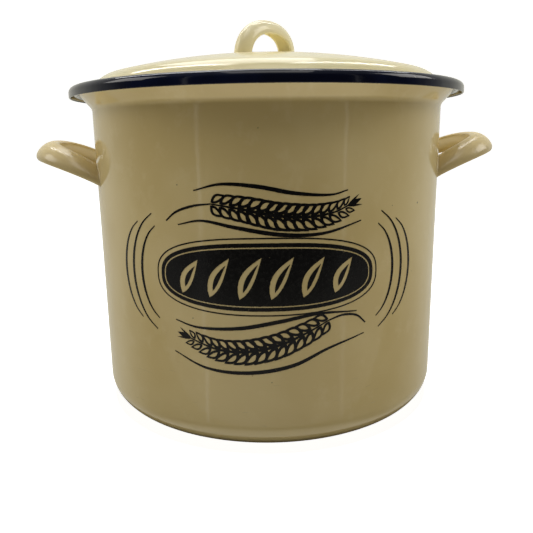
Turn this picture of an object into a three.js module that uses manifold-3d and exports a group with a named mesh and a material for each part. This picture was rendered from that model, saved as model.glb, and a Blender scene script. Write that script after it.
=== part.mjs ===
// Round enamelled steel bread crock with a lift-off lid.
// Millimetres, +Z up. The origin is the centre of the base, on the surface the crock stands on.
// The side handles point along -X and +X, and the printed front faces -Y.
//
// The crock and the lid are pressed from sheet. Each is a line in the radius-height plane, given
// a thickness and turned about the Z axis. The handles are loops of channel-section strap, with
// the hollow side of the channel facing into the loop.

import * as THREE from "three";
import { mergeVertices } from "three/addons/utils/BufferGeometryUtils.js";
import Module from "manifold-3d";

// ---- Driving dimensions ----------------------------------------------------------------------

const SHEET = 1.0; // steel with its enamel coats
const GAP = 0.3; // left between touching solids
const SEGMENTS = 64; // facets round the axis

const wall = { radius: 135, cornerRadius: 21, flareStart: 226 };
const foot = { innerRadius: 100, recessRadius: 94, recessHeight: 2 };
const flare = { fillet: 6, angle: 42, topRadius: 143.6 }; // angle from upright, degrees
const bead = { ringRadius: 145.8, radius: 2.5, height: 239.4 };

const dome = { radius: 500, height: 267.6, shoulderStart: 121, shoulderRadius: 20 };
const brim = { slope: 52, fillet: 6, splitRadius: 142.5 }; // slope where the shoulder ends, degrees
const skirt = { radius: 150.7, noseRadius: 4.3, lipHeight: 235.5 };

const sideHandle = {
  rootHeight: 181.3, // middle of the strap where it meets the wall
  offset: 1.1, // the right handle is welded on this much higher, and the left one lower
  climb: 28.6, // upward slope where the loop leaves the wall, degrees
  droop: 6.1, // how far the tip has curved down from that slope
  halfSpan: 44, // inside of the loop, across it
  reach: 44.5, // inside of the loop, outwards from the wall
  fullness: 2.5, // exponent of the loop's outline: 2 is an ellipse
  strapWidth: 20.4,
  footWidth: 14.9,
  strapDepth: 6.2,
  lean: 39.6, // the strap's crown is turned up from level by this much, degrees
};
const lidHandle = {
  turn: 48.2, // about the lid's axis from +X, degrees
  tilt: 7.5, // the top of the loop is this far out of upright, towards the front, degrees
  halfSpan: 24.7,
  reach: 17.5,
  fullness: 2.3,
  strapWidth: 14.4,
  footWidth: 14.4,
  strapDepth: 9.7,
  lean: 0,
};
const STRAP_SHEET = 1.6;
const QUARTER_STEPS = 4; // facets in a quarter of a strap's curved section
const OVERRUN = 8; // the strap is swept this far past the surface that it is trimmed to

// ---- Enamel ----------------------------------------------------------------------------------

function enamel(color) {
  return new THREE.MeshStandardMaterial({ color, roughness: 0.15, metalness: 0 });
}
const cream = enamel(0xe9dcae);
const navy = enamel(0x0b1430);

// ---- Sheet profiles --------------------------------------------------------------------------

const toRadians = THREE.MathUtils.degToRad;
const toDegrees = THREE.MathUtils.radToDeg;

// A point on a circle in the radius-height plane, at an angle from straight up.
// Positive angles lean outwards.
function onCircle(centre, radius, degrees) {
  const angle = toRadians(degrees);
  return new THREE.Vector2(
    centre.x + radius * Math.sin(angle),
    centre.y + radius * Math.cos(angle),
  );
}

// Points along an arc between two angles from straight up.
function arc(centre, radius, from, to, steps) {
  return Array.from({ length: steps + 1 }, (_, i) =>
    onCircle(centre, radius, from + ((to - from) * i) / steps),
  );
}

// The unit normal on the left of a line at each of its points. At a corner it is lengthened,
// so that the offset line keeps its distance.
function leftNormals(line) {
  const side = (a, b) => new THREE.Vector2(a.y - b.y, b.x - a.x).normalize();
  return line.map((point, i) => {
    const before = i > 0 ? side(line[i - 1], point) : side(point, line[i + 1]);
    const after = i < line.length - 1 ? side(point, line[i + 1]) : before;
    const middle = before.clone().add(after).normalize();
    return middle.divideScalar(middle.dot(after));
  });
}

// The outline of a sheet whose right-hand surface is the given line. A ring's outline closes
// on itself; one that starts on the axis ends on it.
function sheetOutline(line, thickness = SHEET) {
  const normals = leftNormals(line);
  const other = line.map((point, i) => {
    const moved = point.clone().addScaledVector(normals[i], thickness);
    if (point.x === 0) moved.x = 0;
    return moved;
  });
  const outline = [...line, ...other.reverse()];
  return line[0].x > 0 ? [...outline, line[0].clone()] : outline;
}

// Turns an outline, taken anticlockwise round its material, about the Z axis.
function turned(outline) {
  return new THREE.LatheGeometry(outline, SEGMENTS).rotateX(Math.PI / 2);
}

// ---- Crock -----------------------------------------------------------------------------------

// Outside of the shell: raised middle of the base, foot, corner, wall and flared mouth.
function shellLine() {
  const cornerCentre = new THREE.Vector2(wall.radius - wall.cornerRadius, wall.cornerRadius);
  const neckCentre = new THREE.Vector2(wall.radius + flare.fillet, wall.flareStart);
  const neck = arc(neckCentre, flare.fillet, -90, -flare.angle, 3);
  const neckEnd = neck.at(-1);
  const rise = (flare.topRadius - neckEnd.x) / Math.tan(toRadians(flare.angle));
  return [
    new THREE.Vector2(0, foot.recessHeight),
    new THREE.Vector2(foot.recessRadius, foot.recessHeight),
    new THREE.Vector2(foot.innerRadius, 0),
    ...arc(cornerCentre, wall.cornerRadius, 180, 90, 6),
    ...neck,
    new THREE.Vector2(flare.topRadius, neckEnd.y + rise),
  ];
}

function potShell() {
  return turned(sheetOutline(shellLine()));
}

// The mouth's edge, rolled over into a bead that is filled with enamel.
function potRim() {
  const centre = new THREE.Vector2(bead.ringRadius, bead.height);
  return turned(arc(centre, bead.radius, 0, -360, 12));
}

// ---- Lid -------------------------------------------------------------------------------------

// Top of the dome from its centre to the start of its shoulder.
function crownLine() {
  const centre = new THREE.Vector2(0, dome.height - dome.radius);
  const line = arc(centre, dome.radius, 0, toDegrees(Math.asin(dome.shoulderStart / dome.radius)), 5);
  line[0].x = 0;
  return line;
}

// The shoulder turns down from the crown, and a fillet turns it out flat into the brim.
function shoulderLine() {
  const slope = toDegrees(Math.asin(dome.shoulderStart / dome.radius));
  const centre = onCircle(crownLine().at(-1), -dome.shoulderRadius, slope);
  const filletCentre = onCircle(centre, dome.shoulderRadius + brim.fillet, brim.slope);
  return [
    ...arc(centre, dome.shoulderRadius, slope, brim.slope, 3).slice(1),
    ...arc(filletCentre, brim.fillet, 180 + brim.slope, 180, 3).slice(1),
  ];
}

const brimHeight = shoulderLine().at(-1).y;

function lidDome() {
  const edge = new THREE.Vector2(brim.splitRadius - GAP, brimHeight);
  const top = [...crownLine(), ...shoulderLine(), edge];
  return turned(sheetOutline(top, -SHEET).reverse());
}

// The dark edge: the flat of the brim, a round nose and a short skirt down over the mouth.
function lidRim() {
  const noseCentre = new THREE.Vector2(
    skirt.radius - skirt.noseRadius,
    brimHeight - skirt.noseRadius,
  );
  const top = [
    new THREE.Vector2(brim.splitRadius, brimHeight),
    ...arc(noseCentre, skirt.noseRadius, 0, 90, 5),
    new THREE.Vector2(skirt.radius, skirt.lipHeight),
  ];
  return turned(sheetOutline(top, -SHEET).reverse());
}

// ---- Strap handles ---------------------------------------------------------------------------

// The inside line of a loop in the XY plane, from the root at -Y out along +X and back to the
// root at +Y. Past each root it runs straight on towards -X.
class LoopCurve extends THREE.Curve {
  constructor({ halfSpan, reach, fullness }) {
    super();
    this.halfSpan = halfSpan;
    this.reach = reach;
    this.power = 2 / fullness;
    this.straight = 0.08; // share of the parameter on each straight run
  }

  getPoint(t, target = new THREE.Vector3()) {
    const along = (t - this.straight) / (1 - 2 * this.straight);
    const angle = THREE.MathUtils.clamp(along, 0, 1) * Math.PI;
    const past = Math.max(this.straight - t, t - 1 + this.straight, 0) / this.straight;
    const across = Math.sign(Math.cos(angle)) * Math.abs(Math.cos(angle)) ** this.power;
    const out = Math.sin(angle) ** this.power;
    return target.set(this.reach * out - OVERRUN * past, -this.halfSpan * across, 0);
  }
}

// A half-round channel with its crown on the outside of the loop, turned by the strap's lean.
function strapSection({ strapWidth, strapDepth, lean }) {
  const outer = { across: strapWidth / 2, deep: strapDepth };
  const inner = { across: outer.across - STRAP_SHEET, deep: strapDepth - STRAP_SHEET };
  const section = new THREE.Shape();
  section.absellipse(0, 0, outer.across, outer.deep, Math.PI, 2 * Math.PI, false, 0);
  section.lineTo(inner.across, 0);
  section.absellipse(0, 0, inner.across, inner.deep, 2 * Math.PI, Math.PI, true, 0);
  const middle = new THREE.Vector2();
  const points = section.getPoints(QUARTER_STEPS);
  return new THREE.Shape(points.map((point) => point.rotateAround(middle, -toRadians(lean))));
}

// A strap swept round its loop in the XY plane, and narrowed from the tip to the feet.
function strapLoop(handle) {
  const loop = new THREE.ExtrudeGeometry(strapSection(handle), {
    steps: 28,
    extrudePath: new LoopCurve(handle),
  });
  const foot = handle.footWidth / handle.strapWidth;
  const position = loop.getAttribute("position");
  for (let i = 0; i < position.count; i += 1) {
    const out = THREE.MathUtils.clamp(position.getX(i) / handle.reach, 0, 1);
    position.setZ(i, position.getZ(i) * THREE.MathUtils.lerp(foot, 1, out));
  }
  return loop;
}

const kernel = await Module();
kernel.setup();

function toSolid(geometry) {
  const bare = new THREE.BufferGeometry();
  bare.setAttribute("position", geometry.getAttribute("position"));
  bare.setIndex(geometry.index);
  const merged = mergeVertices(bare, 1e-3);
  return new kernel.Manifold(
    new kernel.Mesh({
      numProp: 3,
      vertProperties: merged.getAttribute("position").array,
      triVerts: new Uint32Array(merged.index.array),
    }),
  );
}

// The loop with its feet trimmed to the surface of what it stands on.
function trimmed(loop, keepOut) {
  const mesh = toSolid(loop).subtract(toSolid(keepOut)).getMesh();
  const geometry = new THREE.BufferGeometry();
  geometry.setAttribute("position", new THREE.BufferAttribute(mesh.vertProperties, 3));
  geometry.setIndex(new THREE.BufferAttribute(mesh.triVerts, 1));
  return geometry.toNonIndexed();
}

// Arches a flat loop: it leaves the wall at the climb and curves down towards its tip.
function arched(loop, { climb, droop, reach }) {
  const rise = Math.tan(toRadians(climb));
  const position = loop.getAttribute("position");
  for (let i = 0; i < position.count; i += 1) {
    const out = position.getX(i);
    const aside = position.getZ(i);
    const share = Math.max(out / reach, 0);
    const slope = Math.atan(rise - (2 * droop * share) / reach);
    position.setX(i, out - aside * Math.sin(slope));
    position.setZ(i, rise * out - droop * share ** 2 + aside * Math.cos(slope));
  }
  return loop;
}

// A handle on the +X side, with its feet trimmed to the wall.
function sideHandleLoop() {
  const rootDistance = Math.sqrt(wall.radius ** 2 - sideHandle.halfSpan ** 2);
  const loop = arched(strapLoop(sideHandle), sideHandle)
    .translate(rootDistance, 0, sideHandle.rootHeight);
  const keepOut = turned([
    new THREE.Vector2(0, 0),
    new THREE.Vector2(wall.radius + GAP, 0),
    new THREE.Vector2(wall.radius + GAP, wall.flareStart),
    new THREE.Vector2(0, wall.flareStart),
  ]);
  return trimmed(loop, keepOut);
}

// The lid's handle stands upright across the centre, with its feet on the dome.
function lidHandleLoop() {
  const loop = strapLoop(lidHandle)
    .rotateY(-toRadians(90 + lidHandle.tilt))
    .rotateZ(toRadians(90 + lidHandle.turn))
    .translate(0, 0, dome.height);
  const surface = crownLine().map((point) => new THREE.Vector2(point.x, point.y + GAP));
  const below = surface.at(-1).y - OVERRUN;
  const keepOut = turned([
    new THREE.Vector2(0, below),
    new THREE.Vector2(dome.shoulderStart, below),
    ...surface.reverse(),
  ]);
  return trimmed(loop, keepOut);
}

// ---- Assembly --------------------------------------------------------------------------------

function part(name, geometry, material) {
  const mesh = new THREE.Mesh(geometry, material);
  mesh.name = name;
  return mesh;
}

const crock = new THREE.Group();
crock.add(part("pot_shell", potShell(), cream), part("pot_rim", potRim(), navy));
for (const [side, turn, raised] of [["right", 0, 1], ["left", Math.PI, -1]]) {
  const handle = part(`handle_${side}`, sideHandleLoop(), cream);
  handle.rotation.z = turn;
  handle.position.z = raised * sideHandle.offset;
  crock.add(handle);
}

const lid = new THREE.Group();
lid.add(
  part("lid_dome", lidDome(), cream),
  part("lid_rim", lidRim(), navy),
  part("lid_handle", lidHandleLoop(), cream),
);

const breadCrock = new THREE.Group();
breadCrock.add(crock, lid);

export default breadCrock;
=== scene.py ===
"""Round enamelled steel bread crock with a lift-off lid: the visual model round its CAD part.

Metres, +Z up, in the part's own frame. The decorated front faces -Y, and the side handles point
along X.
"""

import math

import bmesh
import bpy
from mathutils import Matrix, Vector


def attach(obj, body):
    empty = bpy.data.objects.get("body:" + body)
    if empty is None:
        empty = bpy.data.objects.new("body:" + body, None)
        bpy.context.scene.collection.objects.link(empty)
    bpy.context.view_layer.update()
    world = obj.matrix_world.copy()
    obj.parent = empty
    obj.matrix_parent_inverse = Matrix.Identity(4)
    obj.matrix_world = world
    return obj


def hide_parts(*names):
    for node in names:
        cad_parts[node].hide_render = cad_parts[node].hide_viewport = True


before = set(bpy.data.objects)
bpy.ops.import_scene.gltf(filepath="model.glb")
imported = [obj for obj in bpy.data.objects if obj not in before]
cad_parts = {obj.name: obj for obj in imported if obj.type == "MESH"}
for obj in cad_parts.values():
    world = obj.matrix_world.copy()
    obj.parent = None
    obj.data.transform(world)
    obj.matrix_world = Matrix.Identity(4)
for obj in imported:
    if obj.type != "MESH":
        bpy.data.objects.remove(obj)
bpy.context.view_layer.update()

MM = 0.001

# ---- Sizes, in millimetres, the same as the CAD part's ---------------------------------------

SHEET = 1.0
WALL_RADIUS, CORNER_RADIUS, FLARE_START = 135.0, 21.0, 226.0
FOOT_INNER, RECESS_RADIUS, RECESS_HEIGHT = 100.0, 94.0, 2.0
FLARE_FILLET, FLARE_ANGLE, FLARE_TOP = 6.0, 42.0, 143.6
BEAD_RING, BEAD_RADIUS, BEAD_HEIGHT = 145.8, 2.5, 239.4
DOME_RADIUS, DOME_HEIGHT, SHOULDER_START, SHOULDER_RADIUS = 500.0, 267.6, 121.0, 20.0
BRIM_SLOPE, BRIM_FILLET, BRIM_SPLIT = 52.0, 6.0, 142.5
SKIRT_RADIUS, NOSE_RADIUS, LIP_HEIGHT = 150.7, 4.3, 235.5

SIDE_HANDLE = dict(half_span=44, reach=44.2, fullness=2.5, width=20.2, foot=14.9, depth=6.0)
SIDE_ROOT, SIDE_OFFSET, SIDE_CLIMB, SIDE_DROOP = 181.3, 1.1, math.radians(28.6), 6.1
SIDE_LEAN = math.radians(39.6)
LID_HANDLE = dict(half_span=24.7, reach=17.4, fullness=2.3, width=14.4, foot=14.4, depth=9.6)
LID_TURN, LID_TILT = math.radians(48.2), math.radians(7.5)
STRAP_SHEET = 2.0  # with the thick enamel on its edges

PRINT_ANGLE = -0.0635  # centre of the decoration, about Z from -Y
PRINT_HEIGHT = 120.6
LATHE_SEGMENTS = 256
ON_AXIS = 1e-6  # a point this near the axis is on it


# ---- Camera ----------------------------------------------------------------------------------


def make_camera():
    data = bpy.data.cameras.new("camera")
    camera = bpy.data.objects.new("camera", data)
    bpy.context.scene.collection.objects.link(camera)
    data.sensor_width = 36
    data.lens = 38.84
    data.clip_start, data.clip_end = 0.01, 50
    turn = Matrix.Rotation(-0.05, 4, "Z")
    camera.matrix_world = (
        turn
        @ Matrix.Translation((-0.001715, -0.480731, 0.207084))
        @ Matrix.Rotation(math.pi / 2 - 0.2233, 4, "X")
        @ Matrix.Rotation(-0.0147, 4, "Z")
    )
    bpy.context.scene.camera = camera


make_camera()


# ---- Node helpers ----------------------------------------------------------------------------


class Nodes:
    """A short way to build a node tree: each call adds a node and returns its first output."""

    def __init__(self, tree):
        self.tree = tree

    def add(self, kind, inputs=(), out=0, **settings):
        node = self.tree.nodes.new(kind)
        for key, value in settings.items():
            setattr(node, key, value)
        for key, value in dict(inputs).items():
            if isinstance(value, bpy.types.NodeSocket):
                self.tree.links.new(value, node.inputs[key])
            else:
                node.inputs[key].default_value = value
        return node.outputs[out]

    def math(self, operation, a, b=0.0, c=0.0):
        return self.add("ShaderNodeMath", {0: a, 1: b, 2: c}, operation=operation)

    def noise(self, where, scale, detail=2.0, roughness=0.5):
        return self.add(
            "ShaderNodeTexNoise",
            {"Vector": where, "Scale": scale, "Detail": detail, "Roughness": roughness},
        )

    def ramp(self, value, low, high, to_low=0.0, to_high=1.0):
        return self.add(
            "ShaderNodeMapRange",
            {0: value, 1: low, 2: high, 3: to_low, 4: to_high},
            interpolation_type="SMOOTHSTEP",
        )

    def mix(self, share, a, b):
        node = self.tree.nodes.new("ShaderNodeMix")
        node.data_type = "RGBA"
        for index, value in ((0, share), (6, a), (7, b)):
            if isinstance(value, bpy.types.NodeSocket):
                self.tree.links.new(value, node.inputs[index])
            else:
                node.inputs[index].default_value = value
        return node.outputs[2]


def new_material(name):
    material = bpy.data.materials.new(name)
    material.use_nodes = True
    tree = material.node_tree
    tree.nodes.clear()
    shader = tree.nodes.new("ShaderNodeBsdfPrincipled")
    output = tree.nodes.new("ShaderNodeOutputMaterial")
    tree.links.new(shader.outputs[0], output.inputs[0])
    return material, Nodes(tree), shader


def link(nodes, shader, **sockets):
    names = {"color": "Base Color", "roughness": "Roughness", "normal": "Normal"}
    for key, value in sockets.items():
        nodes.tree.links.new(value, shader.inputs[names[key]])


# ---- Materials -------------------------------------------------------------------------------


def specks(n, where, scale, size, share):
    """1 inside small round marks, 0 elsewhere. Only a share of the cells has a mark."""
    cells = n.tree.nodes.new("ShaderNodeTexVoronoi")
    cells.inputs["Scale"].default_value = scale
    n.tree.links.new(where, cells.inputs["Vector"])
    pick = n.add("ShaderNodeSeparateColor", {0: cells.outputs["Color"]})
    chosen = n.math("LESS_THAN", pick, share)
    inside = n.ramp(cells.outputs["Distance"], size * 0.6, size, 1.0, 0.0)
    return n.math("MULTIPLY", chosen, inside)


def cream_enamel(name, cream, deep, pale, dull):
    """Glossy cream enamel from three tones. dull is added to its roughness."""
    material, n, shader = new_material(name)
    where = n.add("ShaderNodeTexCoord", out=3)
    clouds = n.noise(where, 9.0, 3.0, 0.6)
    colour = n.mix(n.ramp(clouds, 0.40, 0.66), cream, deep)
    mottle = n.noise(where, 60.0, 4.0, 0.65)
    colour = n.mix(n.math("MULTIPLY", n.ramp(mottle, 0.52, 0.72), 0.35), colour, pale)
    # Pinholes, where the dark ground coat shows through the cream.
    holes = n.math("ADD", specks(n, where, 62.0, 0.055, 0.10), specks(n, where, 160.0, 0.085, 0.05))
    colour = n.mix(n.math("MULTIPLY", holes, 0.75), colour, (0.06, 0.045, 0.03, 1))
    # Fine rubbed scratches, mostly low on the wall.
    stretched = n.add(
        "ShaderNodeMapping",
        {"Vector": where, "Rotation": (0.4, 0.9, 0.3), "Scale": (9, 9, 120)},
    )
    scratch = n.ramp(n.noise(stretched, 6.0, 2.0, 0.6), 0.70, 0.74)
    height = n.add("ShaderNodeSeparateXYZ", {0: where}, out=2)
    low = n.ramp(height, 0.02, 0.10, 1.0, 0.0)
    scuff = n.math("MULTIPLY", scratch, n.math("MULTIPLY", low, 0.5))
    colour = n.mix(n.math("MULTIPLY", scuff, 0.35), colour, (0.36, 0.30, 0.21, 1))
    # Enamel flows as it is fired, so the gloss is never quite even.
    flow = n.noise(where, 28.0, 2.0, 0.5)
    peel = n.noise(where, 210.0, 2.0, 0.55)
    height_map = n.math("ADD", flow, n.math("MULTIPLY", peel, 0.05))
    height_map = n.math("SUBTRACT", height_map, n.math("MULTIPLY", holes, 0.12))
    bump = n.add("ShaderNodeBump", {"Strength": 0.28, "Distance": 0.0012, "Height": height_map})
    rough = n.ramp(n.noise(where, 17.0, 4.0, 0.6), 0.3, 0.7, 0.06 + dull, 0.13 + dull)
    rough = n.math("ADD", rough, n.math("MULTIPLY", scuff, 0.35))
    rough = n.math("ADD", rough, n.math("MULTIPLY", holes, 0.3))
    link(n, shader, color=colour, roughness=rough, normal=bump)
    shader.inputs["IOR"].default_value = 1.52
    return material


def navy_enamel():
    material, n, shader = new_material("navy_enamel")
    where = n.add("ShaderNodeTexCoord", out=3)
    shade = n.ramp(n.noise(where, 30.0, 4.0, 0.6), 0.35, 0.7)
    colour = n.mix(shade, (0.0015, 0.0035, 0.016, 1), (0.0032, 0.007, 0.030, 1))
    chips = n.math("ADD", specks(n, where, 110.0, 0.09, 0.07), specks(n, where, 260.0, 0.12, 0.05))
    colour = n.mix(n.math("MULTIPLY", chips, 0.6), colour, (0.16, 0.15, 0.14, 1))
    flow = n.noise(where, 45.0, 2.0, 0.5)
    peel = n.noise(where, 320.0, 2.0, 0.5)
    height_map = n.math("ADD", flow, n.math("MULTIPLY", peel, 0.09))
    bump = n.add("ShaderNodeBump", {"Strength": 0.35, "Distance": 0.0009, "Height": height_map})
    rough = n.ramp(n.noise(where, 40.0, 3.0, 0.6), 0.3, 0.7, 0.05, 0.14)
    link(n, shader, color=colour, roughness=rough, normal=bump)
    shader.inputs["IOR"].default_value = 1.40
    return material


def print_ink():
    material, n, shader = new_material("print_ink")
    where = n.add("ShaderNodeTexCoord", out=3)
    grain = n.noise(where, 420.0, 3.0, 0.6)
    colour = n.mix(n.ramp(grain, 0.45, 0.75), (0.0045, 0.0045, 0.005, 1), (0.011, 0.0105, 0.010, 1))
    worn = n.math("MULTIPLY", specks(n, where, 300.0, 0.13, 0.03), 0.3)
    colour = n.mix(worn, colour, (0.30, 0.25, 0.15, 1))
    bump = n.add("ShaderNodeBump", {"Strength": 0.15, "Distance": 0.0003, "Height": grain})
    rough = n.ramp(grain, 0.3, 0.7, 0.20, 0.30)
    link(n, shader, color=colour, roughness=rough, normal=bump)
    shader.inputs["Specular IOR Level"].default_value = 0.3
    return material


def floor_paper():
    material, n, shader = new_material("floor_paper")
    where = n.add("ShaderNodeTexCoord", out=3)
    tone = n.noise(where, 3.0, 3.0, 0.5)
    colour = n.mix(tone, (0.80, 0.80, 0.795, 1), (0.84, 0.84, 0.835, 1))
    link(n, shader, color=colour)
    shader.inputs["Roughness"].default_value = 0.9
    shader.inputs["Specular IOR Level"].default_value = 0.1
    shader.inputs["Emission Color"].default_value = (1, 1, 1, 1)
    shader.inputs["Emission Strength"].default_value = 0.92
    return material


CREAM = cream_enamel(
    "cream_enamel", (0.80, 0.65, 0.325, 1), (0.74, 0.585, 0.27, 1), (0.84, 0.70, 0.38, 1), 0.0
)
# The lid's copy of the cream enamel is painted paler than the body's: painted light, for the light
# falling on the lid from above.
LID_CREAM_PAINTED_LIGHT = cream_enamel(
    "cream_enamel_lid_painted_light", (0.83, 0.765, 0.49, 1), (0.79, 0.71, 0.42, 1), (0.87, 0.81, 0.56, 1), 0.04
)
# The straps' copy of the cream enamel is painted darker than the body's, which is painted shade; it
# is also rougher.
STRAP_CREAM_PAINTED_SHADE = cream_enamel(
    "cream_enamel_straps_painted_shade",
    (0.72, 0.585, 0.30, 1), (0.67, 0.53, 0.25, 1), (0.77, 0.64, 0.36, 1), 0.15,
)
# The loop's copy of the cream enamel is painted much paler than the body's: painted light, for the
# bright light on the loop.
LOOP_CREAM_PAINTED_LIGHT = cream_enamel(
    "cream_enamel_loop_painted_light", (0.94, 0.87, 0.60, 1), (0.91, 0.81, 0.50, 1), (0.95, 0.90, 0.68, 1), 0.08
)
NAVY, INK = navy_enamel(), print_ink()


# ---- Mesh helpers ----------------------------------------------------------------------------


def add_piece(name, vertices, faces, material, body, slot, replaced=(), sharp=None):
    """A closed mesh from points in millimetres, riding on a CAD body."""
    mesh = bpy.data.meshes.new(name)
    mesh.from_pydata([[c * MM for c in v] for v in vertices], [], faces)
    tidy = bmesh.new()
    tidy.from_mesh(mesh)
    bmesh.ops.recalc_face_normals(tidy, faces=tidy.faces)
    tidy.to_mesh(mesh)
    tidy.free()
    mesh.shade_smooth()
    if sharp is not None:
        mesh.set_sharp_from_angle(angle=math.radians(sharp))
    mesh.materials.append(material)
    piece = bpy.data.objects.new(name, mesh)
    bpy.context.scene.collection.objects.link(piece)
    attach(piece, body)
    if replaced:
        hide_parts(*replaced)
    return piece


def lathe(outline):
    """Turns a closed outline of (radius, height) about Z. Points on the axis become one vertex."""
    rings, vertices, faces = [], [], []
    for r, z in outline:
        if r < ON_AXIS:
            rings.append([len(vertices)])
            vertices.append((0.0, 0.0, z))
            continue
        rings.append(list(range(len(vertices), len(vertices) + LATHE_SEGMENTS)))
        for k in range(LATHE_SEGMENTS):
            a = 2 * math.pi * k / LATHE_SEGMENTS
            vertices.append((r * math.cos(a), r * math.sin(a), z))
    for i, ring in enumerate(rings):
        following = rings[(i + 1) % len(rings)]
        if len(ring) == 1 and len(following) == 1:
            continue
        for k in range(LATHE_SEGMENTS):
            j = (k + 1) % LATHE_SEGMENTS
            a, b = ring[k % len(ring)], ring[j % len(ring)]
            c, d = following[j % len(following)], following[k % len(following)]
            if len(ring) == 1:
                faces.append([a, c, d])
            elif len(following) == 1:
                faces.append([a, b, c])
            else:
                faces.append([a, b, c, d])
    return vertices, faces


def arc(cx, cz, radius, start, end, steps):
    """Points on a circle, by angle in degrees from straight up, positive outwards."""
    points = []
    for i in range(steps + 1):
        a = math.radians(start + (end - start) * i / steps)
        points.append((cx + radius * math.sin(a), cz + radius * math.cos(a)))
    return points


def straight(a, b, steps):
    """Points between two others, with neither end."""
    return [
        (a[0] + (b[0] - a[0]) * i / steps, a[1] + (b[1] - a[1]) * i / steps)
        for i in range(1, steps)
    ]


def offset(line, distance):
    """The line moved to its left by a distance."""
    moved = []
    for i, (x, z) in enumerate(line):
        before, after = line[max(i - 1, 0)], line[min(i + 1, len(line) - 1)]
        dx, dz = after[0] - before[0], after[1] - before[1]
        size = math.hypot(dx, dz)
        across = max(x - dz / size * distance, 0.0) if x > ON_AXIS else 0.0
        moved.append((across, z + dx / size * distance))
    return moved


def rounded_end(a, b, steps=6):
    """The points of a half circle from a to b, bulging to the right of the way from a to b."""
    cx, cz = (a[0] + b[0]) / 2, (a[1] + b[1]) / 2
    vx, vz = a[0] - cx, a[1] - cz
    points = []
    for i in range(1, steps):
        t = math.pi * i / steps
        c, s = math.cos(t), math.sin(t)
        points.append((cx + vx * c - vz * s, cz + vx * s + vz * c))
    return points


# ---- Crock -----------------------------------------------------------------------------------


def shell_line():
    corner = (WALL_RADIUS - CORNER_RADIUS, CORNER_RADIUS)
    neck = arc(WALL_RADIUS + FLARE_FILLET, FLARE_START, FLARE_FILLET, -90, -FLARE_ANGLE, 10)
    lean = math.radians(FLARE_ANGLE)
    rise = (FLARE_TOP - neck[-1][0]) / math.tan(lean)
    top = (FLARE_TOP, neck[-1][1] + rise)
    recess = arc(RECESS_RADIUS - 2, RECESS_HEIGHT + 2.4, 2.4, 180, 162, 3)
    line = [(0, RECESS_HEIGHT), (30, RECESS_HEIGHT), (60, RECESS_HEIGHT), (84, RECESS_HEIGHT)]
    line += recess + [(FOOT_INNER - 2.2, 0.45), (FOOT_INNER - 1.0, 0.10), (FOOT_INNER, 0)]
    line += [(FOOT_INNER + 4, 0), (FOOT_INNER + 9, 0)]
    line += arc(*corner, CORNER_RADIUS, 180, 90, 24)
    line += straight(line[-1], neck[0], 24) + neck + straight(neck[-1], top, 6) + [top]
    return line


def make_crock():
    outer = shell_line()
    inner = offset(outer, SHEET)
    outline = outer + rounded_end(outer[-1], inner[-1]) + inner[::-1]
    add_piece("crock_shell", *lathe(outline), CREAM, "pot", "cream_enamel", ["pot_shell"])
    bead = arc(BEAD_RING, BEAD_HEIGHT, BEAD_RADIUS, 0, 360, 28)[:-1]
    add_piece("crock_bead", *lathe(bead), NAVY, "pot", "navy_enamel", ["pot_rim"])


# ---- Lid -------------------------------------------------------------------------------------


def lid_profile():
    """The top of the lid from its centre towards the split, and the height of its brim."""
    lean = math.degrees(math.asin(SHOULDER_START / DOME_RADIUS))
    crown = arc(0, DOME_HEIGHT - DOME_RADIUS, DOME_RADIUS, 0, lean, 36)
    tip = crown[-1]
    centre = arc(tip[0], tip[1], -SHOULDER_RADIUS, lean, lean, 1)[0]
    fillet = arc(*centre, SHOULDER_RADIUS + BRIM_FILLET, BRIM_SLOPE, BRIM_SLOPE, 1)[0]
    shoulder = arc(*centre, SHOULDER_RADIUS, lean, BRIM_SLOPE, 14)[1:]
    shoulder += arc(*fillet, BRIM_FILLET, 180 + BRIM_SLOPE, 180, 12)[1:]
    return crown + shoulder, shoulder[-1][1]


SKIN = 0.45  # the dark enamel's share of the rim's thickness


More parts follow.
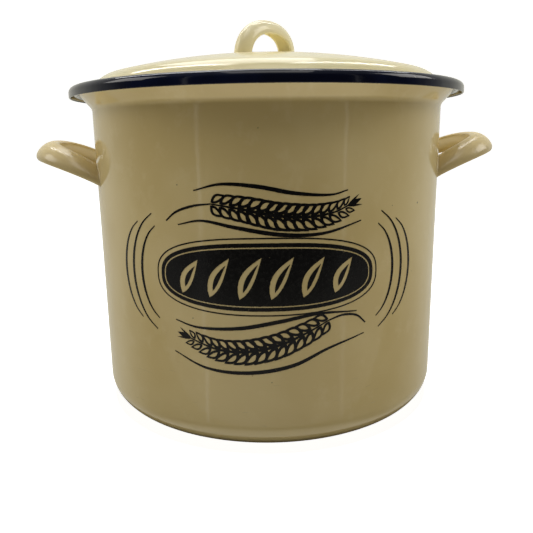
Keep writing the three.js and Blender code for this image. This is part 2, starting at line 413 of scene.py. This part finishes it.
def make_lid():
    top, brim = lid_profile()
    nose = (SKIRT_RADIUS - NOSE_RADIUS, brim - NOSE_RADIUS)
    lip = (SKIRT_RADIUS, LIP_HEIGHT)
    # The cream sheet runs under the dark skin as far as the lip.
    upper = top + straight(top[-1], (BRIM_SPLIT - 1.2, brim), 3) + [(BRIM_SPLIT - 1.2, brim)]
    upper += [(BRIM_SPLIT - 0.9, brim - 0.12), (BRIM_SPLIT + 0.3, brim - SKIN)]
    upper += arc(*nose, NOSE_RADIUS - SKIN, 0, 90, 16)
    outer_lip = (lip[0] - SKIN, lip[1] + 0.4)
    upper += straight(upper[-1], outer_lip, 4) + [outer_lip]
    lower = offset(top, -SHEET) + [(BRIM_SPLIT, brim - SHEET)]
    lower += arc(*nose, NOSE_RADIUS - SHEET, 0, 90, 16)
    inner_lip = (lip[0] - SHEET, lip[1] + 0.4)
    lower += straight(lower[-1], inner_lip, 4) + [inner_lip]
    outline = upper + rounded_end(upper[-1], lower[-1]) + lower[::-1]
    add_piece("lid_sheet", *lathe(outline), LID_CREAM_PAINTED_LIGHT, "lid", "cream_enamel", ["lid_dome"])
    # The dark skin, thin at its inner edge and rolled round the lip.
    skin = [(BRIM_SPLIT - 0.8, brim - 0.1), (BRIM_SPLIT - 0.5, brim - 0.02)]
    skin += [(BRIM_SPLIT + 0.2, brim)]
    skin += arc(*nose, NOSE_RADIUS, 0, 90, 20)
    skin += straight(skin[-1], (lip[0], lip[1] + 0.6), 4)
    skin += arc(lip[0] - 0.6, lip[1] + 0.6, 0.6, 90, 180, 6)
    skin += [(lip[0] - SHEET - 0.05, lip[1] + 0.15), (lip[0] - SHEET - 0.1, lip[1] + 0.6)]
    skin += [(lip[0] - SHEET + 0.1, lip[1] + 1.0), (lip[0] - SKIN - 0.1, lip[1] + 1.4)]
    skin += arc(*nose, NOSE_RADIUS - SKIN - 0.1, 90, 0, 16)
    skin += [(BRIM_SPLIT + 0.2, brim - SKIN)]
    add_piece("lid_edge", *lathe(skin), NAVY, "lid", "navy_enamel", ["lid_rim"])


# ---- Strap handles ---------------------------------------------------------------------------


def loop_point(handle, t):
    """The inside line of a loop: out from the root, and across it. t runs from 0 to 1 round the
    loop, and straight on behind the root beyond them."""
    past = max(-t, t - 1, 0.0)
    angle = min(max(t, 0.0), 1.0) * math.pi
    power = 2 / handle["fullness"]
    across = math.copysign(abs(math.cos(angle)) ** power, math.cos(angle))
    out = max(math.sin(angle), 0.0) ** power
    return handle["reach"] * out - 100.0 * past, -handle["half_span"] * across


def strap_section(handle, lean, steps=15):
    """The channel's outline in shares: (aside, deep, normal aside, normal deep)."""
    half, deep, lip = handle["width"] / 2, handle["depth"], STRAP_SHEET / 2
    points = []
    for i in range(steps + 1):
        a = math.pi * i / steps
        points.append((half * math.cos(a), lip + (deep - lip) * math.sin(a)))
    for i in range(1, 6):
        a = math.pi * i / 6
        points.append((-half + lip - lip * math.cos(a), lip - lip * math.sin(a)))
    for i in range(steps + 1):
        a = math.pi - math.pi * i / steps
        points.append(((half - 2 * lip) * math.cos(a), lip + (deep - 3 * lip) * math.sin(a)))
    for i in range(1, 6):
        a = math.pi * i / 6
        points.append((half - lip - lip * math.cos(a), lip - lip * math.sin(a)))
    count, section = len(points), []
    for i, (x, y) in enumerate(points):
        ax, ay = points[i - 1]
        bx, by = points[(i + 1) % count]
        size = math.hypot(bx - ax, by - ay)
        nx, ny = (by - ay) / size, -(bx - ax) / size
        c, s = math.cos(lean), math.sin(lean)
        section.append((x * c + y * s, y * c - x * s, nx * c + ny * s, ny * c - nx * s))
    return section


FILLET = 1.4  # radius of the enamel run round each weld
LOOP_STEPS = 56  # rings round a loop, between its two fillets
FLARE_STEPS = (0.0, 0.06, 0.16, 0.32, 0.55, 0.85, 1.3)  # distances from the weld, in fillet radii


def strap_mesh(handle, lean, place, depth_in):
    """A strap swept round its loop. place puts (out, across, aside) into space, and depth_in says
    how far a point of space lies inside what the strap is welded to."""
    section = strap_section(handle, lean)
    foot = handle["foot"] / handle["width"]

    def spot(t, point, spread=0.0):
        aside, deep, n_aside, n_deep = point
        e = 1e-3
        (x0, y0), (x1, y1) = loop_point(handle, t - e), loop_point(handle, t + e)
        size = math.hypot(x1 - x0, y1 - y0)
        ox, oy = (y1 - y0) / size, -(x1 - x0) / size
        px, py = loop_point(handle, t)
        deep += n_deep * spread
        out, across = px + ox * deep, py + oy * deep
        share = min(max(out / handle["reach"], 0.0), 1.0)
        aside = aside * (foot + (1 - foot) * share) + n_aside * spread
        return place(out, across, aside)

    def seat(point, spread, low, high):
        """The parameter at which this line of the strap reaches the surface."""
        for _ in range(40):
            middle = (low + high) / 2
            if depth_in(spot(middle, point, spread)) > 0:
                low = middle
            else:
                high = middle
        return (low + high) / 2

    columns = []
    for point in section:
        column = []
        for ends, way in (((-0.12, 0.3), 1), ((1.12, 0.7), -1)):
            t = seat(point, 0.0, *ends)
            reach = (Vector(spot(t + way * 0.01, point)) - Vector(spot(t, point))).length / 0.01
            run = []
            for share in FLARE_STEPS:
                gone = 1 - min(share, 1.0)
                spread = FILLET * (1 - math.sqrt(1 - gone * gone))
                run.append((seat(point, spread, *ends) + way * share * FILLET / reach, spread))
            column.append(run)
        first, last = column
        a, b = first[-1][0], last[-1][0]
        middle = []
        for k in range(1, LOOP_STEPS):
            share = 0.5 - 0.5 * math.cos(math.pi * k / LOOP_STEPS)
            middle.append((a + (b - a) * share, 0.0))
        columns.append([spot(t, point, spread) for t, spread in first + middle + last[::-1]])
    vertices, faces = [], []
    rings, count = len(columns[0]), len(columns)
    for r in range(rings):
        vertices += [columns[c][r] for c in range(count)]
    for r in range(rings - 1):
        for c in range(count):
            d = (c + 1) % count
            faces.append([r * count + c, r * count + d, (r + 1) * count + d, (r + 1) * count + c])
    for base, flip in ((0, False), ((rings - 1) * count, True)):
        faces += end_cap(base, count, flip)
    return vertices, faces


def end_cap(base, count, flip):
    """Quads across the channel's section, between its outer and inner lines."""
    faces = []
    left, right = 0, count - 1
    while right - left > 2:
        quad = [base + left, base + left + 1, base + right - 1, base + right]
        faces.append(quad[::-1] if flip else quad)
        left, right = left + 1, right - 1
    if right - left == 2:
        tri = [base + left, base + left + 1, base + right]
        faces.append(tri[::-1] if flip else tri)
    return faces


def make_side_handle(name, node, turn, raised):
    root = math.sqrt(WALL_RADIUS**2 - SIDE_HANDLE["half_span"] ** 2)
    rise = math.tan(SIDE_CLIMB)

    def place(out, across, aside):
        share = max(out / SIDE_HANDLE["reach"], 0.0)
        slope = math.atan(rise - 2 * SIDE_DROOP * share / SIDE_HANDLE["reach"])
        x = root + out - aside * math.sin(slope)
        z = SIDE_ROOT + raised * SIDE_OFFSET + rise * out - SIDE_DROOP * share**2
        c, s = math.cos(turn), math.sin(turn)
        return (x * c - across * s, x * s + across * c, z + aside * math.cos(slope))

    def depth_in(p):
        return WALL_RADIUS - 0.35 - math.hypot(p[0], p[1])

    mesh = strap_mesh(SIDE_HANDLE, SIDE_LEAN, place, depth_in)
    add_piece(name, *mesh, STRAP_CREAM_PAINTED_SHADE, "pot", "cream_enamel", [node])


def make_lid_handle():
    centre = DOME_HEIGHT - DOME_RADIUS

    def place(out, across, aside):
        over = -aside * math.cos(LID_TILT) - out * math.sin(LID_TILT)
        up = out * math.cos(LID_TILT) - aside * math.sin(LID_TILT)
        c, s = math.cos(LID_TURN), math.sin(LID_TURN)
        return (across * c - over * s, across * s + over * c, DOME_HEIGHT + up)

    def depth_in(p):
        return DOME_RADIUS - 0.35 - math.hypot(p[0], p[1], p[2] - centre)

    mesh = strap_mesh(LID_HANDLE, 0.0, place, depth_in)
    add_piece("lid_loop", *mesh, LOOP_CREAM_PAINTED_LIGHT, "lid", "cream_enamel", ["lid_handle"])


# ---- Printed decoration ----------------------------------------------------------------------

SLICE = 4.0  # widest facet of a print across the wall
SNAP = 0.01  # points nearer than this are joined, so that no facet is a sliver
INK_LOW, INK_HIGH = 0.02, 0.12  # a print's two faces, out from the wall


class Print:
    """Flat shapes drawn on the unrolled wall, then wrapped round it as one thin closed shell.
    Across is measured round the wall from the decoration's middle, up from its centre line."""

    def __init__(self, name):
        self.name = name
        self.vertices, self.faces, self.level = [], [], 0

    def region(self, outer, holes=()):
        flat = bmesh.new()
        edges = []
        for loop in (outer, *holes):
            ring = [flat.verts.new((x, y, 0)) for x, y in loop]
            edges += [flat.edges.new((ring[i - 1], ring[i])) for i in range(len(ring))]
        bmesh.ops.triangle_fill(flat, use_beauty=True, edges=edges, normal=(0, 0, 1))
        low = min(x for x, _ in outer)
        high = max(x for x, _ in outer)
        cut = math.ceil(low / SLICE) * SLICE
        while cut < high:
            geometry = flat.verts[:] + flat.edges[:] + flat.faces[:]
            bmesh.ops.bisect_plane(
                flat, geom=geometry, dist=SNAP, plane_co=(cut, 0, 0), plane_no=(1, 0, 0)
            )
            cut += SLICE
        bmesh.ops.remove_doubles(flat, verts=flat.verts, dist=SNAP)
        bmesh.ops.dissolve_degenerate(flat, edges=flat.edges, dist=SNAP)
        bmesh.ops.recalc_face_normals(flat, faces=flat.faces)
        flat.verts.index_update()
        points = [(v.co.x, v.co.y) for v in flat.verts]
        self.shell(points, [[v.index for v in f.verts] for f in flat.faces])
        flat.free()

    def stroke(self, path, width, thin=0.7):
        """A line that swells from thin ends to its width. The path is a list of points."""
        line = smooth_path(path)
        total, points, faces = len(line) - 1, [], []
        for i, (x, y) in enumerate(line):
            ax, ay = line[max(i - 1, 0)]
            bx, by = line[min(i + 1, total)]
            size = math.hypot(bx - ax, by - ay)
            nx, ny = -(by - ay) / size, (bx - ax) / size
            half = (thin + (width - thin) * math.sin(math.pi * i / total) ** 1.2) / 2
            points += [(x + nx * half, y + ny * half), (x - nx * half, y - ny * half)]
        for i in range(total):
            faces.append([2 * i, 2 * i + 1, 2 * i + 3, 2 * i + 2])
        self.shell(points, faces)

    def shell(self, points, faces):
        """Adds a flat mesh as a closed shell. Neighbouring shapes sit at slightly different
        heights, so that no two faces lie in one surface."""
        self.level = (self.level + 1) % 4
        base, count = len(self.vertices), len(points)
        for height in (INK_HIGH + 0.012 * self.level, INK_LOW):
            for x, y in points:
                a = PRINT_ANGLE + x / WALL_RADIUS
                r = WALL_RADIUS + height
                self.vertices.append((r * math.sin(a), -r * math.cos(a), PRINT_HEIGHT + y))
        sides = {}
        for face in faces:
            self.faces.append([base + i for i in face])
            self.faces.append([base + count + i for i in reversed(face)])
            for i, a in enumerate(face):
                b = face[(i + 1) % len(face)]
                sides.setdefault((min(a, b), max(a, b)), []).append((a, b))
        for found in sides.values():
            if len(found) == 1:
                a, b = found[0]
                self.faces.append([base + b, base + a, base + count + a, base + count + b])

    def finish(self):
        return add_piece(self.name, self.vertices, self.faces, INK, "pot", "print_ink", sharp=40)


def smooth_path(path, spacing=1.6):
    """A smooth line through the points of a path, at an even spacing."""
    ends = [
        (2 * path[0][0] - path[1][0], 2 * path[0][1] - path[1][1]),
        (2 * path[-1][0] - path[-2][0], 2 * path[-1][1] - path[-2][1]),
    ]
    nodes = [ends[0], *path, ends[1]]
    fine = []
    for i in range(1, len(nodes) - 2):
        p = nodes[i - 1 : i + 3]
        for k in range(24):
            t = k / 24
            fine.append(tuple(
                0.5 * (2 * p[1][c] + (p[2][c] - p[0][c]) * t
                       + (2 * p[0][c] - 5 * p[1][c] + 4 * p[2][c] - p[3][c]) * t * t
                       + (3 * p[1][c] - p[0][c] - 3 * p[2][c] + p[3][c]) * t**3)
                for c in (0, 1)
            ))
    fine.append(path[-1])
    lengths = [0.0]
    for a, b in zip(fine, fine[1:]):
        lengths.append(lengths[-1] + math.hypot(b[0] - a[0], b[1] - a[1]))
    steps = max(round(lengths[-1] / spacing), 4)
    even, j = [], 0
    for i in range(steps + 1):
        want = lengths[-1] * i / steps
        while j < len(lengths) - 2 and lengths[j + 1] < want:
            j += 1
        span = max(lengths[j + 1] - lengths[j], 1e-9)
        t = (want - lengths[j]) / span
        even.append(tuple(fine[j][c] + (fine[j + 1][c] - fine[j][c]) * t for c in (0, 1)))
    return even


def turned(points, angle, x, y):
    c, s = math.cos(angle), math.sin(angle)
    return [(x + px * c - py * s, y + px * s + py * c) for px, py in points]


def leaf(length, width, bow=0.0, steps=9):
    """A pointed oval along X from the origin, bowed to one side."""
    top, bottom = [], []
    for i in range(steps + 1):
        t = i / steps
        half = width / 2 * math.sin(math.pi * t**0.8)
        middle = bow * math.sin(math.pi * t)
        top.append((length * t, middle + half))
        bottom.append((length * t, middle - half))
    return bottom[:-1] + top[:0:-1]


def oval(half_wide, half_tall, power, steps=72):
    points = []
    for i in range(steps):
        a = 2 * math.pi * i / steps
        c, s = math.cos(a), math.sin(a)
        points.append((
            half_wide * math.copysign(abs(c) ** (2 / power), c),
            half_tall * math.copysign(abs(s) ** (2 / power), s),
        ))
    return points


def print_loaf():
    """A long scored loaf, with a cream line inside its edge and a fine dark line round it."""
    art = Print("print_loaf")

    def edge(grow):
        return [(x, y * (1.0 if y > 0 else 0.94)) for x, y in oval(72 + grow, 22.5 + grow, 2.6)]

    art.region(edge(0), [edge(-2.6)[::-1]])
    def cuts(longest, width, bow):
        """Six leaning leaves along the loaf, shorter towards its ends."""
        lean = math.radians(62)
        for x in range(-50, 51, 20):
            length = longest - 0.0022 * x * x
            start_x = x - length / 2 * math.cos(lean)
            yield turned(leaf(length, width, bow), lean, start_x, -length / 2 * math.sin(lean))

    art.region(edge(-3.5), [cut[::-1] for cut in cuts(31, 9.0, 1.6)])
    for cut in cuts(21, 3.2, 1.0):
        art.region(cut)
    art.region(edge(3.4), [edge(2.5)[::-1]])
    art.finish()


def print_ear(name, path, pairs, grain, stem):
    """An ear of wheat along a path from its stem to its tip."""
    art = Print(name)
    line = smooth_path(path, 0.5)
    art.stroke(path, 2.0, 0.8)
    last = len(line) - 1
    for i in range(pairs):
        t = i / (pairs - 1)
        index = round(t * last * 0.95)
        x, y = line[index]
        ahead = line[min(index + 6, last)]
        behind = line[max(index - 6, 0)]
        heading = math.atan2(ahead[1] - behind[1], ahead[0] - behind[0])
        size = grain * (0.70 + 0.62 * math.sin(math.pi * min(t * 0.86 + 0.14, 1.0)) ** 0.8)
        for side in (1, -1):
            angle = heading + side * math.radians(34)
            start_x = x - side * 0.9 * math.sin(heading)
            start_y = y + side * 0.9 * math.cos(heading)
            outer = turned(leaf(size, size * 0.50, side * size * 0.06), angle, start_x, start_y)
            inner = leaf(size * 0.60, size * 0.22, side * size * 0.06)
            inner = [(size * 0.20 + px, py) for px, py in inner]
            inner = turned(inner, angle, start_x, start_y)
            art.region(outer, [inner[::-1]])
    tip, before = line[-1], line[-8]
    heading = math.atan2(tip[1] - before[1], tip[0] - before[0])
    art.region(turned(leaf(grain * 0.95, grain * 0.32), heading, *line[-4]))
    for bend in (-0.35, 0.3):
        art.region(turned(leaf(grain * 1.05, grain * 0.13), heading + bend, *line[-6]))
    art.stroke(stem, 1.5, 0.9)
    art.finish()


def print_lines():
    """Plain curved rules above and below, and nested brackets at the sides."""
    art = Print("print_lines")
    art.stroke([(-45, 54.5), (-27, 58.5), (-5, 57), (18, 52.6), (40, 51), (52, 53.5)], 2.6)
    art.stroke([(-57, 33), (-40, 36), (-18, 32), (10, 27.5), (36, 27.5), (62, 34)], 2.6)
    art.stroke([(-62, -30), (-45, -33.5), (-18, -32.5), (8, -28), (33, -24), (60, -25)], 2.6)
    art.stroke([(-64, -52), (-40, -61), (-12, -62.5), (16, -58), (40, -48), (66, -41)], 2.6)
    for side in (-1, 1):
        for middle, tall, bow in ((108, 33, 17), (99, 39, 22), (90, 31, 15)):
            path = []
            for i in range(9):
                a = -1.15 + 2.3 * i / 8
                across = middle - bow * (1 - math.cos(a)) * 1.6
                path.append((side * across, tall * math.sin(a) / math.sin(1.15)))
            art.stroke(path, 2.2)
    art.finish()


# ---- Stage -----------------------------------------------------------------------------------


def make_floor():
    """A plain pale floor and backdrop, which the camera sees but which light nothing."""
    bpy.ops.mesh.primitive_circle_add(
        vertices=96, radius=9, fill_type="NGON", location=(0, 0, -0.0003)
    )
    floor = bpy.context.object
    floor.name = "floor"
    floor.data.materials.append(floor_paper())
    bpy.ops.mesh.primitive_cylinder_add(
        vertices=96, radius=8.8, depth=16, end_fill_type="NOTHING", location=(0, 0, 0)
    )
    wall = bpy.context.object
    wall.name = "backdrop"
    wall.data.materials.append(floor_paper())
    wall.visible_shadow = False
    for piece in (floor, wall):
        piece.visible_diffuse = piece.visible_glossy = False
    # The table keeps light from the crock's foot, where the two nearly touch.
    bpy.ops.mesh.primitive_circle_add(
        vertices=96, radius=0.134, fill_type="NGON", location=(0, 0, -0.0002)
    )
    shade = bpy.context.object
    shade.name = "table_shade"
    material, _, shader = new_material("table_shade")
    shader.inputs["Base Color"].default_value = (0.16, 0.135, 0.09, 1)
    shader.inputs["Roughness"].default_value = 1.0
    shade.data.materials.append(material)
    shade.visible_camera = False


def area_light(name, where, at, size, power, colour=(1, 1, 1), tall=None):
    data = bpy.data.lights.new(name, "AREA")
    data.shape = "RECTANGLE"
    data.size, data.size_y = size, tall or size
    data.energy, data.color = power, colour
    lamp = bpy.data.objects.new(name, data)
    bpy.context.scene.collection.objects.link(lamp)
    lamp.location = where
    lamp.visible_camera = False
    lamp.rotation_euler = (Vector(at) - Vector(where)).to_track_quat("-Z", "Y").to_euler()


def make_light():
    """A dim room with a bright wall behind, lamps overhead and at the sides, a pale table top in
    front, and light from straight below."""
    world = bpy.data.worlds.new("room")
    bpy.context.scene.world = world
    world.use_nodes = True
    tree = world.node_tree
    tree.nodes.clear()
    n = Nodes(tree)
    where = n.add("ShaderNodeTexCoord", out=0)
    x = n.add("ShaderNodeSeparateXYZ", {0: where}, out=0)
    y = n.add("ShaderNodeSeparateXYZ", {0: where}, out=1)
    z = n.add("ShaderNodeSeparateXYZ", {0: where}, out=2)
    level = n.mix(n.ramp(y, -0.25, 0.60), (0.05, 0.045, 0.04, 1), (0.68, 0.67, 0.59, 1))
    low = n.mix(n.ramp(y, -0.20, 0.60), (0.15, 0.14, 0.11, 1), (0.60, 0.58, 0.50, 1))
    colour = n.mix(n.ramp(z, -0.45, -0.10), low, level)
    colour = n.mix(n.ramp(z, -0.85, -0.65), (1.05, 1.0, 0.84, 1), colour)
    colour = n.mix(n.ramp(z, 0.40, 0.80), colour, (0.22, 0.22, 0.215, 1))
    # Two thin upright lamps, in front to the left and the right.
    bearing = n.math("ARCTAN2", x, n.math("MULTIPLY", y, -1.0))
    for middle, half, power in ((-0.80, 0.022, 0.75), (0.80, 0.020, 0.65)):
        away = n.math("ABSOLUTE", n.math("SUBTRACT", bearing, middle))
        tube = n.ramp(away, half * 0.7, half, 1.0, 0.0)
        tube = n.math("MULTIPLY", tube, n.ramp(n.math("ABSOLUTE", z), 0.45, 0.6, power, 0.0))
        colour = n.mix(tube, colour, (1.0, 1.0, 1.0, 1))
    sky = n.add("ShaderNodeBackground", {"Color": colour, "Strength": 1.0})
    output = tree.nodes.new("ShaderNodeOutputWorld")
    tree.links.new(sky, output.inputs[0])
    warm = (1.0, 0.97, 0.92)
    area_light("table_top", (0, -0.31, 0.002), (0, -0.31, 1), 1.7, 0.42, warm, 0.30)
    area_light("lamp_front", (0.0, -0.45, 1.3), (0, 0, 0.2), 0.7, 3.4, warm)
    area_light("lamp_left", (-1.25, -0.12, 0.95), (0, 0, 0.12), 0.7, 5.3, warm)
    area_light("lamp_right", (1.25, -0.12, 0.95), (0, 0, 0.12), 0.7, 6.2, warm)
    area_light("lamp_back", (-0.1, 0.7, 1.5), (0, 0, 0.1), 0.9, 7.0, (1.0, 0.99, 0.97))
    area_light("tube_left", (-0.55, 0.45, 1.35), (0, 0, 0.2), 0.07, 3.2, (1, 0.99, 0.97), 0.9)
    area_light("tube_right", (0.5, 0.45, 1.35), (0, 0, 0.2), 0.07, 2.6, (1, 0.99, 0.97), 0.9)


make_crock()
make_lid()
make_side_handle("side_handle_right", "handle_right", 0.0, 1)
make_side_handle("side_handle_left", "handle_left", math.pi, -1)
make_lid_handle()
print_loaf()
print_ear(
    "print_ear_upper",
    [(-34, 46.5), (-15, 43.5), (5, 39.5), (25, 38), (42, 40), (54, 44.5)],
    16, 10.5,
    [(-34, 46.5), (-46, 45), (-58, 41), (-66, 35)],
)
print_ear(
    "print_ear_lower",
    [(40, -29), (26, -36), (8, -43.5), (-12, -48), (-32, -47.5), (-53, -41)],
    16, 10.5,
    [(40, -29), (50, -26.5), (60, -28), (67, -34)],
)
print_lines()
make_floor()
make_light()

bpy.context.scene.view_settings.view_transform = "Standard"
